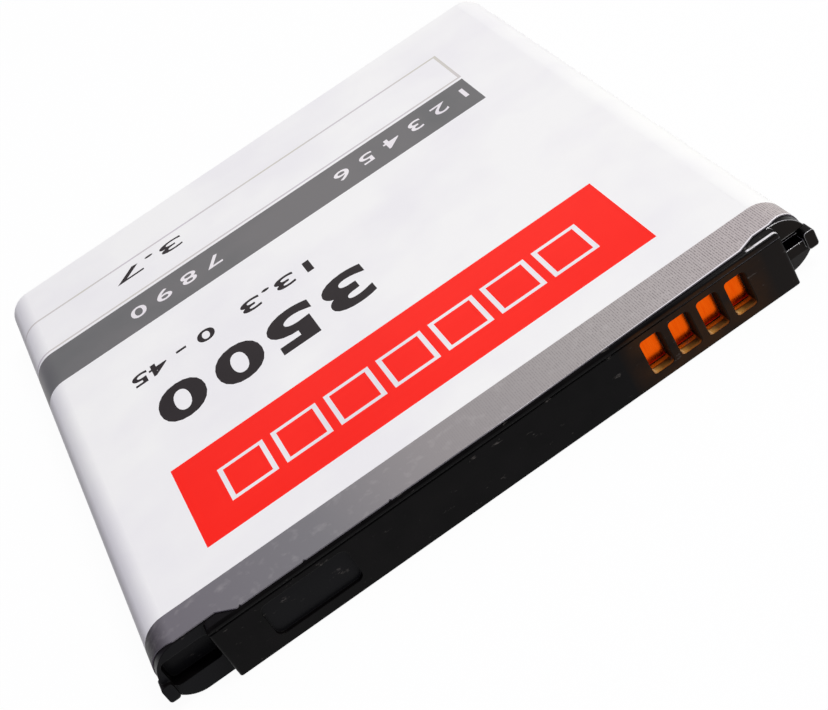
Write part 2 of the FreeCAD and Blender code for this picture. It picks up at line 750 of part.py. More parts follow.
def contactCap():
    # one black moulding: a full-round section across the pack, a block that stands forward of it
    # with the contact windows and a shallow recess, and at each end a slot in the section's front
    # and a small ear that stands out of its side
    body = newBody("contact_cap")
    section = faceSketch(body, "wingSection", "Sizes.wingSetback")
    stadium(section, bodyWide, bodyThick)
    pad(body, "wings", section, "%s - Sizes.wingSetback" % capBack)
    block = faceSketch(body, "blockSection", "0")
    roundedRectangle(block, blockLeftX, blockRightX, bodyLow, bodyHigh, "Sizes.blockCorner")
    pad(body, "block", block, capBack)
    foot = faceSketch(body, "blockFoot", "0")
    rectangle(foot, blockLeftX, blockRightX, bodyLow, "%s + Sizes.blockCorner" % bodyLow)
    standing = pad(body, "blockFootPad", foot, capBack)
    aboveFoot = value(bodyLow) + edgeReach
    rounded(
        body,
        "blockEdges",
        standing,
        "Sizes.blockEdgeRadius",
        lambda b: flatAt(b, "0") and b.ZMax > aboveFoot,
    )
    groove = faceSketch(body, "topGroove", "0")
    grooveHigh = "%s - Sizes.grooveDown" % bodyHigh
    rectangle(groove, blockLeftX, blockRightX, "%s - Sizes.grooveHeight" % grooveHigh, grooveHigh)
    pocket(body, "topGrooveCut", groove, "Sizes.grooveDeep")
    slots = faceSketch(body, "endSlots", "Sizes.wingSetback")
    roundedRectangle(
        slots,
        "%s + Sizes.leftSlotWall" % leftSide,
        blockLeftX,
        "Sizes.leftSlotLow",
        "Sizes.leftSlotLow + Sizes.leftSlotHeight",
        "Sizes.leftSlotCorner",
    )
    rectangle(
        slots,
        blockRightX,
        rightSide,
        "Sizes.rightSlotLow",
        "Sizes.rightSlotLow + Sizes.rightSlotHeight",
    )
    pocket(body, "endSlotsCut", slots, "Sizes.slotDeep")
    relief = sketchOn(body, "YZ_Plane", "underRelief", blockRightX)
    polygon(
        relief,
        [
            (yAt("0"), "0"),
            (yAt("Sizes.reliefDepth"), "0"),
            (yAt("Sizes.wingSetback"), "Sizes.reliefHigh"),
            (yAt("0"), "Sizes.reliefHigh"),
        ],
    )
    pocket(body, "underReliefCut", relief, "Sizes.blockRight", reverse=True)
    ears = faceSketch(body, "ears", "Sizes.wingSetback - Sizes.earProud")
    earInner = "(Sizes.earWide - Sizes.earOut)"
    for left, low in (
        ("%s - Sizes.earOut" % leftSide, "Sizes.leftEarLow"),
        ("%s - %s" % (rightSide, earInner), "Sizes.rightEarLow"),
    ):
        right = "%s + Sizes.earWide" % left
        roundedRectangle(ears, left, right, low, "%s + Sizes.earHeight" % low, "Sizes.earCorner")
    pad(body, "earsPad", ears, "Sizes.earDeep")
    cavity = faceSketch(body, "cavity", "Sizes.frontWall")
    rectangle(cavity, cavityLeftX, cavityRightX, cavityLow, cavityHigh)
    pocket(body, "cavityCut", cavity)
    ribs = faceSketch(body, "boardRibs", boardBack)
    ribX = "(%s + Sizes.ribEnd)" % cavityLeftX
    for low, high in (
        (cavityLow, "%s + Sizes.ribReach" % cavityLow),
        ("%s - Sizes.ribReach" % cavityHigh, cavityHigh),
    ):
        rectangle(ribs, "%s - Sizes.ribWidth / 2" % ribX, "%s + Sizes.ribWidth / 2" % ribX, low, high)
    rib = pad(body, "boardRib", ribs, "%s - %s" % (capBack, boardBack))
    ribSpan = "%s - %s - 2 * Sizes.ribEnd" % (cavityRightX, cavityLeftX)
    linear(body, "boardRibRow", [rib], "X_Axis", ribSpan, "Sizes.ribCount")
    window = faceSketch(body, "window", "0")
    roundedRectangle(
        window,
        "%s - Sizes.windowWidth / 2" % firstWindowX,
        "%s + Sizes.windowWidth / 2" % firstWindowX,
        "Sizes.windowLow",
        "Sizes.windowLow + Sizes.windowHeight",
        "Sizes.windowCorner",
    )
    opening = pocket(body, "windowCut", window, "Sizes.frontWall")
    windowSpan = "(Sizes.windowCount - 1) * Sizes.windowPitch"
    row = linear(body, "windowRow", [opening], "X_Axis", windowSpan, "Sizes.windowCount")
    windowLeft = value("%s - Sizes.windowWidth / 2" % firstWindowX)
    windowRight = value("%s + Sizes.windowWidth / 2" % lastWindowX)
    windowTop = value("Sizes.windowLow + Sizes.windowHeight")
    bevelled(
        body,
        "windowRims",
        row,
        "Sizes.windowBevel",
        lambda b: flatAt(b, "0")
        and b.XMin > windowLeft - edgeReach
        and b.XMax < windowRight + edgeReach
        and b.ZMin > value("Sizes.windowLow") - edgeReach
        and b.ZMax < windowTop + edgeReach,
    )
    recess = faceSketch(body, "recess", "0")
    recessX = "(%s + Sizes.recessLeft)" % leftSide
    roundedRectangle(
        recess,
        recessX,
        "%s + Sizes.recessWidth" % recessX,
        "Sizes.recessLow",
        "Sizes.recessLow + Sizes.recessHeight",
        "Sizes.recessCorner",
    )
    pocket(body, "recessCut", recess, "Sizes.recessDeep")
    return body


def protectionBoard():
    # glass-epoxy board that fills the cap's cavity, with its corners eased
    body = newBody("protection_board")
    outline = faceSketch(body, "boardOutline", "Sizes.frontWall")
    roundedRectangle(
        outline,
        "%s + Sizes.boardClear" % cavityLeftX,
        "%s - Sizes.boardClear" % cavityRightX,
        "%s + Sizes.boardClear" % cavityLow,
        "%s - Sizes.boardClear" % cavityHigh,
        "Sizes.boardThick / 2",
    )
    pad(body, "boardPlate", outline, "Sizes.boardThick")
    return body


def contactPads():
    # gold-plated pads on the board's front, one behind each window
    names = []
    for n in range(count("windowCount")):
        name = "contact_pad_%d" % (n + 1)
        x = "(%s + %d * Sizes.windowPitch)" % (firstWindowX, n)
        plate = box(
            name,
            x,
            "(Sizes.frontWall - Sizes.padThick)",
            windowMiddle,
            "Sizes.padWidth",
            "Sizes.padThick",
            "Sizes.padHeight",
        )
        plate.Label = name
        names.append(plate)
    return names


def leadedChip(name, kind):
    # moulded case with rows of gull-wing leads on its two short sides
    def own(size):
        return "Sizes.%s%s" % (kind, size)

    body = newBody(name)
    case = faceSketch(body, name + "_case", "(%s + Sizes.leadStandoff)" % boardBack)
    centredRectangle(case, own("Place"), middle, own("Long"), own("Tall"))
    moulding = pad(body, name + "_moulding", case, "%s - Sizes.leadStandoff" % own("Thick"))
    caseTop = value(yAt("(%s + %s)" % (boardBack, own("Thick"))))
    bevelled(
        body,
        name + "_draft",
        moulding,
        "Sizes.leadThick / 2",
        lambda b: near(b.YMin, caseTop) and near(b.YMax, caseTop),
    )
    rows = "(%s - 1) * %s" % (own("Leads"), own("Pitch"))
    lowest = "%s - (%s) / 2 - %s / 2" % (middle, rows, own("LeadWide"))
    profile = sketchOn(body, "XY_Plane", name + "_leads", lowest)
    boardY = yAt(boardBack)
    kneeY = yAt("(%s + %s / 2)" % (boardBack, own("Thick")))
    for side in (-1, 1):
        caseX = "(%s + %d * %s / 2)" % (own("Place"), side, own("Long"))
        tipX = "(%s + %d * %s / 2)" % (own("Place"), side, own("Span"))
        heelX = "(%s - %d * Sizes.leadFoot)" % (tipX, side)
        inward = "%d * Sizes.leadThick" % side
        polygon(
            profile,
            [
                (tipX, boardY),
                (tipX, "%s + Sizes.leadThick" % boardY),
                (heelX, "%s + Sizes.leadThick" % boardY),
                (heelX, "%s + Sizes.leadThick" % kneeY),
                ("%s - %s" % (caseX, inward), "%s + Sizes.leadThick" % kneeY),
                ("%s - %s" % (caseX, inward), kneeY),
                ("%s - %s" % (heelX, inward), kneeY),
                ("%s - %s" % (heelX, inward), boardY),
            ],
        )
    lead = pad(body, name + "_lead", profile, own("LeadWide"), reverse=False)
    linear(body, name + "_leadRow", [lead], "Z_Axis", rows, own("Leads"))
    return body


def smallPart(name, x, z, kind):
    # a ceramic chip with plated ends that stand a little proud of its sides
    def own(size):
        return "Sizes.%s%s" % (kind, size)

    proud = "2 * Sizes.endMetalProud"
    core = box(
        name + "_core",
        x,
        boardBack,
        z,
        "(%s - 2 * Sizes.endMetal)" % own("Long"),
        "(%s - Sizes.endMetalProud)" % own("Thick"),
        own("Wide"),
    )
    ends = []
    for side, word in ((-1, "left"), (1, "right")):
        ends.append(
            box(
                "%s_%s_end" % (name, word),
                "(%s + %d * (%s - Sizes.endMetal) / 2)" % (x, side, own("Long")),
                boardBack,
                z,
                "Sizes.endMetal",
                own("Thick"),
                "(%s + %s)" % (own("Wide"), proud),
            )
        )
    return fuse(name, [core] + ends)


def smallParts():
    made = []
    total = count("smallCount")
    for kind in ("resistor", "capacitor"):
        for n in range(total):
            z = "(%s + %g * Sizes.smallPitch)" % (middle, n - (total - 1) / 2)
            made.append(smallPart("%s_%d" % (kind, n + 1), "Sizes.%sPlace" % kind, z, kind))
    made.append(smallPart("thermistor", thermistorX, middle, "thermistor"))
    return made


def weldPlate(name, x):
    # nickel plate soldered to the board, where a tab is welded
    body = newBody(name)
    outline = faceSketch(body, name + "_outline", boardBack)
    roundedRectangle(
        outline,
        "%s - Sizes.blockPlateLong / 2" % x,
        "%s + Sizes.blockPlateLong / 2" % x,
        "%s - Sizes.blockPlateTall / 2" % middle,
        "%s + Sizes.blockPlateTall / 2" % middle,
        "Sizes.blockPlateThick / 2",
    )
    pad(body, name + "_plate", outline, "Sizes.blockPlateThick")
    return body


def capBond(name, side):
    # adhesive pad that holds a wing's back to the end of the cell
    outerX = "%d * (%s / 2 - Sizes.bondMargin)" % (side, bodyWide)
    if side < 0:
        left, right = outerX, "%s - Sizes.bondInset" % cavityLeftX
    else:
        left, right = "%s + Sizes.bondInset" % cavityRightX, outerX
    body = newBody(name)
    outline = faceSketch(body, name + "_outline", capBack)
    rectangle(
        outline,
        left,
        right,
        "%s - Sizes.bondHeight / 2" % middle,
        "%s + Sizes.bondHeight / 2" % middle,
    )
    pad(body, name + "_pad", outline, "Sizes.bondThick")
    return body


def endTape():
    # double-sided tape in the end bar's pocket
    body = newBody("end_tape")
    outline = faceSketch(body, "tapeOutline", canBase)
    stadium(outline, tapeLong, tapeTall)
    pad(body, "tapeStrip", outline, "Sizes.endTapeThick")
    return body


def endBar():
    # moulded bar that closes the far end, rounded on its outer edge
    body = newBody("end_bar")
    outline = faceSketch(body, "barSection", canBase)
    stadium(outline, bodyWide, bodyThick)
    bar = pad(body, "barPlate", outline, "Sizes.endBarThick")
    rounded(body, "barEdge", bar, "Sizes.endBarRadius", lambda b: flatAt(b, "Sizes.packLength"))
    seat = faceSketch(body, "tapeSeat", canBase)
    stadium(seat, tapeLong, tapeTall)
    pocket(body, "tapeSeatCut", seat, "Sizes.endTapeThick")
    return body


def labelWrap():
    # film sleeve round the cell, the cap and the end bar, cut back over both wings
    body = newBody("label_wrap")
    section = faceSketch(body, "sleeveSection", "Sizes.labelFront")
    stadium(section, "Sizes.packWidth", "Sizes.packThick")
    stadium(section, bodyWide, bodyThick)
    pad(body, "sleeve", section, "Sizes.packLength - Sizes.labelFront - Sizes.labelBack")
    notches = sketchOn(body, "XY_Plane", "wingNotches", "Sizes.packThick")
    under = sketchOn(body, "XY_Plane", "underNotches", "0")
    sides = ((-1, "Sizes.labelNotchLeft"), (1, "Sizes.labelNotchRight"))
    for side, start in sides:
        startX = "%d * (Sizes.packWidth / 2 - %s)" % (side, start)
        cornerX = "%d * (Sizes.packWidth / 2 - %s + Sizes.labelNotchRun)" % (side, start)
        shoulderX = "%d * (Sizes.packWidth / 2 - Sizes.packThick / 2)" % side
        outX = "%d * (Sizes.packWidth / 2 + Sizes.labelFilm)" % side
        for sketch, depth in ((notches, "Sizes.labelNotchDepth"), (under, "Sizes.labelUnderDepth")):
            sideDepth = "Sizes.labelSideDepth" if sketch == notches else "Sizes.labelUnderDepth"
            polygon(
                sketch,
                [
                    (startX, yAt("0")),
                    (startX, yAt("Sizes.labelFront")),
                    (cornerX, yAt(depth)),
                    (shoulderX, yAt(depth)),
                    (outX, yAt(sideDepth)),
                    (outX, yAt("0")),
                ],
            )
    pocket(body, "wingNotchesCut", notches, "Sizes.packThick / 2")
    pocket(body, "underNotchesCut", under, "Sizes.packThick / 2", reverse=True)
    return body


def build():
    nodes = [
        cellCan(),
        cellLid(),
        terminalGasket(),
        terminalRivet(),
        fillPlug(),
        lidPaper(),
        plusTab(),
        thermalCutoff(),
        minusTab(),
        protectionBoard(),
        leadedChip("protection_chip", "chip"),
        leadedChip("mosfet_pair", "mosfet"),
        weldPlate("weld_plate_plus", plusPlateX),
        weldPlate("weld_plate_minus", "Sizes.minusPlatePlace"),
        contactCap(),
        capBond("cap_bond_left", -1),
        capBond("cap_bond_right", 1),
        endTape(),
        endBar(),
        labelWrap(),
    ]
    nodes += contactPads()
    nodes += smallParts()
    return nodes


def check(nodes):
    doc.recompute()
    for item in doc.Objects:
        if "Invalid" in item.State or "Error" in item.State:
            raise ValueError("%s did not build: %s" % (item.Label, item.State))
    for node in nodes:
        if node.Shape.isNull() or not node.Shape.isValid():
            raise ValueError("%s has no valid shape" % node.Label)


def export(nodes):
    os.makedirs("parts", exist_ok=True)
    for node in nodes:
        node.Shape.exportStep("parts/%s.step" % node.Label)
        size = node.Shape.BoundBox
        print(
            "%-18s solids %d  volume %9.3f  x %7.2f %7.2f  y %7.2f %7.2f  z %6.2f %6.2f"
            % (
                node.Label,
                len(node.Shape.Solids),
                node.Shape.Volume,
                size.XMin,
                size.XMax,
                size.YMin,
                size.YMax,
                size.ZMin,
                size.ZMax,
            )
        )


nodes = build()
check(nodes)
export(nodes)
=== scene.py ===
import bpy
import math
from mathutils import Matrix, Vector
from mathutils.geometry import delaunay_2d_cdt


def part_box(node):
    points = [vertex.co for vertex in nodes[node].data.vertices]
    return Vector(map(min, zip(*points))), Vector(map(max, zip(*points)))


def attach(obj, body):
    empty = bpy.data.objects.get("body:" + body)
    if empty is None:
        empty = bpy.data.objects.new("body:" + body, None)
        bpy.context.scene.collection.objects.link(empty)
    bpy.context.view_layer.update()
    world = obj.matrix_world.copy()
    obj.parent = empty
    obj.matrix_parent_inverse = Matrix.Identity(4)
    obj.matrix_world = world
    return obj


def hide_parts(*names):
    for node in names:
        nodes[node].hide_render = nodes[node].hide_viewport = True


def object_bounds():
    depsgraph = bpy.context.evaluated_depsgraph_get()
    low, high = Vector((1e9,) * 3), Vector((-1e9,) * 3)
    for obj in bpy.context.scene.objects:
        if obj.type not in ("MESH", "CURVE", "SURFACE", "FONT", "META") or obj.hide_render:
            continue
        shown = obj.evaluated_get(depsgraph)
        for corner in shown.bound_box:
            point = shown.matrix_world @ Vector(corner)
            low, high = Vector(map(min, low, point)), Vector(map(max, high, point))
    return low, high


# A flat removable phone battery: a cell in a printed film wrap, with a black contact moulding on its
# front end. X runs along the contact edge, Y goes from the contact face to the far end, Z is up.

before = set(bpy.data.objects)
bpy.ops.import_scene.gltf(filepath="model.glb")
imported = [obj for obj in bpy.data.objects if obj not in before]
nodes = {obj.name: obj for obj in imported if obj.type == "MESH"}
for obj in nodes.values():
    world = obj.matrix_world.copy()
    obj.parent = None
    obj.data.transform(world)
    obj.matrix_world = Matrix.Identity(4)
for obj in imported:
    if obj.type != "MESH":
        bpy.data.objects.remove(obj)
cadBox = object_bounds()
mm = 0.001    # the frame's unit is the metre
print("frame loaded,", len(nodes), "pieces")


# shared helpers for colours and nodes

def linear(hexText):
    # a written sRGB colour, turned to the linear values that sockets hold
    parts = [int(hexText[n:n + 2], 16) / 255 for n in (1, 3, 5)]
    return tuple(p / 12.92 if p <= 0.04045 else ((p + 0.055) / 1.055) ** 2.4 for p in parts) + (1.0,)


def addNode(tree, kind, settings=None, inputs=None):
    # one node with its settings, where stops fill a colour ramp; an input takes a value, a written
    # colour, or another node's socket to link
    made = tree.nodes.new("ShaderNode" + kind)
    for name, setting in (settings or {}).items():
        if name == "stops":
            ramp = made.color_ramp
            while len(ramp.elements) < len(setting):
                ramp.elements.new(0.5)
            for element, (place, colour) in zip(ramp.elements, setting):
                element.position = place
                element.color = linear(colour)
        else:
            setattr(made, name, setting)
    for key, given in (inputs or {}).items():
        socket = made.inputs[key]
        if isinstance(given, bpy.types.NodeSocket):
            tree.links.new(given, socket)
        elif isinstance(given, str):
            socket.default_value = linear(given)
        else:
            socket.default_value = given
    return made


def startMaterial(name):
    # a material, its node tree, and the place on the piece in millimetres
    made = bpy.data.materials.new(name)
    made.use_nodes = True
    tree = made.node_tree
    tree.nodes.clear()
    where = addNode(tree, "TexCoord").outputs["Object"]
    place = addNode(tree, "VectorMath", {"operation": "SCALE"}, {0: where, "Scale": 1 / mm}).outputs[0]
    return made, tree, place


def endMaterial(tree, shader):
    output = addNode(tree, "OutputMaterial")
    tree.links.new(shader.outputs[0], output.inputs["Surface"])


def maskOf(tree, tests, share=1.0):
    # a mask that comes to its share where every test is passed; what a test measures counts as nought
    # at its first limit and fully at its second
    mask = share
    for value, none, full in tests:
        passed = addNode(tree, "MapRange", None, {"Value": value, "From Min": none, "From Max": full})
        mask = addNode(tree, "Math", {"operation": "MULTIPLY"}, {0: mask, 1: passed.outputs[0]}).outputs[0]
    return mask


def setMaterial(piece, made):
    piece.data.materials.clear()
    piece.data.materials.append(made)


# camera, at the height and turn from which the contact edge runs up to the right

shot = {
    "place": (-7.514, -129.494, 78.126),       # mm
    "right": (0.81839, -0.38006, -0.43103),    # the frame's right, its up, and the way back to the lens
    "up": (0.56772, 0.41850, 0.70891),
    "back": (-0.08905, -0.82487, 0.55827),
    "focal": 1734.6,                           # in pixels of the 828 x 710 frame
    "centre": (478, 346),                      # where the lens axis meets the frame
    "frameWide": 828,
    "frameHigh": 710,
    "sensor": 36,                              # mm wide
    "nearest": 1,                              # mm, what is nearer to the lens isn't drawn
}


def makeCamera():
    lens = bpy.data.cameras.new("camera")
    lens.sensor_width = shot["sensor"]
    lens.lens = shot["focal"] * shot["sensor"] / shot["frameWide"]
    lens.shift_x = (shot["frameWide"] / 2 - shot["centre"][0]) / shot["frameWide"]
    lens.shift_y = (shot["centre"][1] - shot["frameHigh"] / 2) / shot["frameWide"]
    lens.clip_start = shot["nearest"] * mm
    holder = bpy.data.objects.new("camera", lens)
    bpy.context.scene.collection.objects.link(holder)
    turn = Matrix((shot["right"], shot["up"], shot["back"])).transposed().to_4x4()
    holder.matrix_world = Matrix.Translation(Vector(shot["place"]) * mm) @ turn
    bpy.context.scene.camera = holder


makeCamera()
print("camera placed")


# the printed wrap: one film sheet round the pack, laid out flat, cut, printed and then wrapped.
# On the flat sheet u runs round the section from the middle of the top, and v back from the contact face.

wrapLow, wrapHigh = (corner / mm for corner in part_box("label_wrap"))
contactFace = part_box("contact_cap")[0].y / mm

wrap = {
    # in mm; the cut edge's places are counted back from the contact face
    "film": 0.1,
    "bendSteps": 20,                    # flats round each side
    "front": 0.2,                       # the cut edge
    "frontSkew": (3.0, 0.42),           # right of here the cut runs back, by so much at the notch
    "notchStart": {-1: 7.6, 1: 5.6},    # in from the left side, and in from the right side
    "notchRun": 1.5,                    # how far across the cut slants into the notch
    "notchDepth": 1.25,                 # the cut edge in the notch on top, at the side and underneath
    "notchSide": 2.4,
    "notchUnder": 2.6,
    "nicks": (-20.6, -15.2, -7.9),      # small tears in the cut edge
    "nickWide": 0.3,
    "nickDeep": 0.14,
    # the unprinted strip along the cut edge, from its start to where it has its width: the two places,
    # how far its line runs back by then, its width there, and its width at the notch
    "margin": (0.0, 8.0, 0.01, 0.1, 0.15),
    "nearest": 1e-5,                    # points nearer than this are joined as the sheet is cut
    "decimals": 4,                      # places on the sheet that agree so far are one point
}
halfWide = wrapHigh.x
bend = (wrapHigh.z - wrapLow.z) / 2             # radius of the round sides
flatHalf = halfWide - bend                      # on the flat sheet, where a round side starts,
quarterTurn = flatHalf + math.pi / 2 * bend     # where it is outermost,
halfTurn = flatHalf + math.pi * bend            # where it ends,
halfRound = halfTurn + flatHalf                 # and where the sheet's two ends meet underneath
wrapBack = wrapHigh.y - contactFace


def wrapPoint(u, v, depth=0.0):
    # where a place on the flat sheet lies on the pack, at a depth into the film, and the way out of it
    side = 1 if u >= 0 else -1
    reach = abs(u)
    if reach <= flatHalf:
        x, turn = reach, 0
    elif reach <= halfTurn:
        x, turn = flatHalf, (reach - flatHalf) / bend
    else:
        x, turn = halfRound - reach, math.pi
    out = Vector((side * math.sin(turn), 0, math.cos(turn)))
    if turn == math.pi:    # flat underneath, where the sine isn't quite nought
        out = Vector((0, 0, -1))
    spot = Vector((side * x, contactFace + v, wrapLow.z + bend)) + out * (bend - depth)
    return spot, out


def cutEdge(side):
    # the sheet's front edge on one side, from the middle of the top round to the middle underneath
    start = halfWide - wrap["notchStart"][side]
    corner = start + wrap["notchRun"]
    skewStart, skewDeep = wrap["frontSkew"]
    points = [(0, wrap["front"])]
    if side > 0:
        points.append((skewStart, wrap["front"]))
    for nick in sorted(abs(place) for place in wrap["nicks"] if place * side > 0):
        points += [
            (nick - wrap["nickWide"] / 2, wrap["front"]),
            (nick, wrap["front"] + wrap["nickDeep"]),
            (nick + wrap["nickWide"] / 2, wrap["front"]),
        ]
    points += [(start, wrap["front"] + (skewDeep if side > 0 else 0)), (corner, wrap["notchDepth"])]
    for n in range(wrap["bendSteps"] // 2 + 1):
        u = flatHalf + n * (halfTurn - flatHalf) / wrap["bendSteps"]
        across = (wrapPoint(u, 0)[0].x - flatHalf) / (halfWide - flatHalf)
        points.append((u, wrap["notchDepth"] + across * (wrap["notchSide"] - wrap["notchDepth"])))
    points += [
        (quarterTurn, wrap["notchUnder"]),
        (halfRound - corner, wrap["notchUnder"]),
        (halfRound - start, wrap["front"]),
        (halfRound, wrap["front"]),
    ]
    return [(side * u, v) for u, v in points]


# the print, in millimetres on the flat sheet: plain fields and frame lines, plain numbers, and a plain
# row of outlined cells in the panel

printed = {
    "bandBack": 4.43,                        # the screened band goes from the cut edge to here
    "stripe": (42.64, 48.58),                # the grey stripe's front and back
    "stripeEnd": 20.18,                      # and its right end
    "box": (48.97, 55.99),                   # the lined box behind it
    "boxEnd": 20.3,
    "boxLine": 0.3,
    "skew": -0.01,                           # the far half of the print is turned by this slope
    "panel": (-20.81, 19.84, 8.21, 19.89),   # left, right, front and back
    "cells": (-17.55, 16.35, 11.45, 16.2),   # the row of outlined cells, the same way
    "cellCount": 7,
    "cellGap": 0.75,
    "cellLine": 0.42,
    "numeralSteps": 5,                       # straight pieces in each curve of a numeral
}
numerals = [
    # text, its two ends across, its foot and its head behind the contact face, added weight, ink
    ("3", 1.3, -3.0, 30.7, 24.9, 0.035, "darkInk"),
    ("5", -4.1, -8.6, 30.8, 24.7, 0.035, "darkInk"),
    ("0", -9.4, -13.9, 30.9, 25.0, 0.035, "darkInk"),
    ("0", -15.0, -19.5, 31.1, 25.3, 0.035, "darkInk"),
    ("13.3", -1.9, -9.2, 36.0, 34.0, 0.02, "darkInk"),
    ("0 - 45", -12.0, -20.4, 36.1, 34.1, 0.02, "darkInk"),
    ("1 2 3 4 5 6", 19.4, 4.7, 46.7, 44.7, 0.01, "paleInk"),
    ("7 8 9 0", -8.0, -17.8, 46.9, 44.9, 0.01, "paleInk"),
    ("3.7", -10.1, -17.6, 54.6, 52.6, 0.01, "darkInk"),
]
# the sheet's finishes in the order of its slots, of which the first is where nothing is printed
inks = ["film", "bandInk", "greyInk", "lineInk", "redInk", "paleInk", "darkInk", "cutFilm", "filmBack"]


def oblong(left, right, low, high):
    return [(left, low), (right, low), (right, high), (left, high)]


def turned(corners):
    # the same outline with the slight turn of the print's far half
    return [(x, v + printed["skew"] * x) for x, v in corners]


def glyphs(text, start, end, foot, head, weight):
    # plain numerals as flat triangles, read from the far side, so their heads point at the contacts
    curve = bpy.data.curves.new("numeral", "FONT")
    curve.body = text
    curve.offset = weight
    curve.resolution_u = printed["numeralSteps"]
    curve.fill_mode = "FRONT"
    holder = bpy.data.objects.new("numeral", curve)
    flat = bpy.data.meshes.new_from_object(holder)
    xs = [corner.co.x for corner in flat.vertices]
    ys = [corner.co.y for corner in flat.vertices]
    wide, tall = max(xs) - min(xs), max(ys) - min(ys)
    flat.calc_loop_triangles()
    faces = []
    for triangle in flat.loop_triangles:
        corners = []
        for n in triangle.vertices:
            x, y = flat.vertices[n].co.xy
            along, up = (x - min(xs)) / wide, (y - min(ys)) / tall
            corners.append((start + along * (end - start), foot + up * (head - foot)))
        faces.append(corners)
    bpy.data.meshes.remove(flat)
    bpy.data.objects.remove(holder)
    bpy.data.curves.remove(curve)
    return faces


def printFields():
    # every printed field as (ink, outline), the later over the earlier
    stripe, box, panel = printed["stripe"], printed["box"], printed["panel"]
    line = printed["boxLine"]
    begin, full, rise, margin, notchMargin = wrap["margin"]
    notch = halfWide - wrap["notchStart"][1]
    edge = [(begin, wrap["front"]), (full, wrap["front"] + rise)]
    edge += [corner for corner in cutEdge(1) if corner[0] > full]
    fields = [("bandInk", oblong(-halfTurn, halfTurn, 0, printed["bandBack"]))]
    for a, b in zip(edge, edge[1:]):
        if a[0] < b[0]:
            first = 0.0 if a[0] == begin else notchMargin if a[0] >= notch else margin
            last = notchMargin if b[0] >= notch else margin
            fields.append(("paleInk", [a, b, (b[0], b[1] + last), (a[0], a[1] + first)]))
    fields += [
        ("greyInk", turned(oblong(-halfTurn, printed["stripeEnd"], *stripe))),
        ("lineInk", turned(oblong(-halfTurn, printed["boxEnd"], box[0], box[0] + line))),
        ("lineInk", turned(oblong(-halfTurn, printed["boxEnd"], box[1] - line, box[1]))),
        ("lineInk", turned(oblong(printed["boxEnd"] - line, printed["boxEnd"], *box))),
        ("redInk", oblong(*panel)),
    ]
    left, right, low, high = printed["cells"]
    pitch = (right - left + printed["cellGap"]) / printed["cellCount"]
    rim = printed["cellLine"]
    for n in range(printed["cellCount"]):
        cellLeft = left + n * pitch
        cellRight = cellLeft + pitch - printed["cellGap"]
        fields.append(("paleInk", oblong(cellLeft, cellRight, low, high)))
        fields.append(("redInk", oblong(cellLeft + rim, cellRight - rim, low + rim, high - rim)))
    for text, start, end, foot, head, weight, ink in numerals:
        fields += [(ink, corners) for corners in glyphs(text, start, end, foot, head, weight)]
    return fields


def holds(corners, x, y):
    # whether an outline, given anticlockwise and nowhere hollow, goes round a place
    return all(
        (b[0] - a[0]) * (y - a[1]) >= (b[1] - a[1]) * (x - a[0])
        for a, b in zip(corners, corners[1:] + corners[:1])
    )


def layOutSheet():
    # the flat sheet cut into triangles along every printed edge and every bend line
    rightEdge, leftEdge = cutEdge(1), cutEdge(-1)
    outline = leftEdge[::-1] + rightEdge[1:] + [(halfRound, wrapBack), (-halfRound, wrapBack)]
    points, edges, fields = [], [], []

    def draw(corners):
        base = len(points)
        points.extend(Vector(corner) for corner in corners)
        edges.extend((base + n, base + (n + 1) % len(corners)) for n in range(len(corners)))

    draw(outline)
    for ink, corners in printFields():
        area = sum(a[0] * b[1] - b[0] * a[1] for a, b in zip(corners, corners[1:] + corners[:1]))
        fields.append((inks.index(ink), corners if area > 0 else corners[::-1]))
        draw(corners)
    for side in (-1, 1):
        for n in range(wrap["bendSteps"] + 1):
            u = side * (flatHalf + n * (halfTurn - flatHalf) / wrap["bendSteps"])
            draw([(u, 0), (u, wrapBack)])
    laid = delaunay_2d_cdt(points, edges, [], 0, wrap["nearest"])
    places, triangles = laid[0], laid[2]    # between them stand the edges
    cuts = [(u, v) for side in (leftEdge[::-1], rightEdge[1:]) for u, v in side]
    kept = []
    for corners in triangles:
        x, y = (sum(places[n][axis] for n in corners) / 3 for axis in (0, 1))
        edge = next(
            a[1] + (x - a[0]) / (b[0] - a[0]) * (b[1] - a[1])
            for a, b in zip(cuts, cuts[1:]) if a[0] < b[0] and a[0] <= x <= b[0]
        )
        if edge < y < wrapBack:
            over = [ink for ink, outlined in fields if holds(outlined, x, y)]
            kept.append((tuple(corners), over[-1] if over else 0))
    return places, kept


